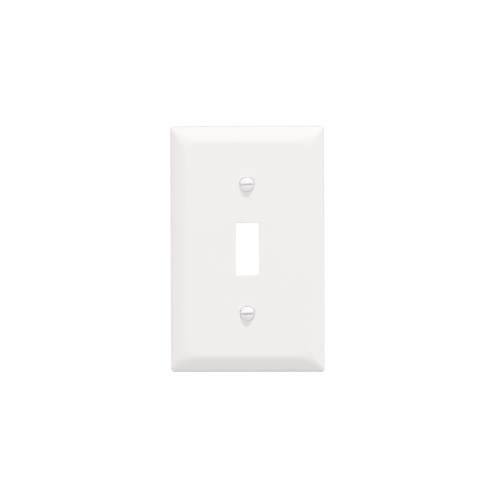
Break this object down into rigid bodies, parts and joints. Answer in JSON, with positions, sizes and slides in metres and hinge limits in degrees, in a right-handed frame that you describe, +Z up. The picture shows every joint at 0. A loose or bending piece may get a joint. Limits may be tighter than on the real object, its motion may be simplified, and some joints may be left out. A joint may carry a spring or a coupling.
{
  "type": "wall plate cover",
  "caption": "Rectangular wall plate with a curved bevel all round, an upright opening for a toggle lever, and slotted oval-head screws above and below it.",
  "frame": {"origin": "centre of the rim in the wall plane, midway between the two screws", "axes": "+Z up the wall, +X right as seen from the room, +Y into the wall, so the face looks along -Y"},
  "size_m": [0.0724, 0.0147, 0.1158],
  "materials": {
    "moulded_plate": "smooth moulded plastic, soft gloss, warm white",
    "painted_screw": "white enamel on the head, bare zinc-plated steel on the thread"
  },
  "bodies": {
    "plate": {"cover_plate": "moulded_plate"},
    "top_screw": {"top_screw": "painted_screw"},
    "bottom_screw": {"bottom_screw": "painted_screw"}
  },
  "joints": [
    {"name": "top_screw_withdraw", "type": "slide", "parent": "plate", "child": "top_screw", "axis": [0, -1, 0], "range_m": [0, 0.016]},
    {"name": "bottom_screw_withdraw", "type": "slide", "parent": "plate", "child": "bottom_screw", "axis": [0, -1, 0], "range_m": [0, 0.016]}
  ]
}
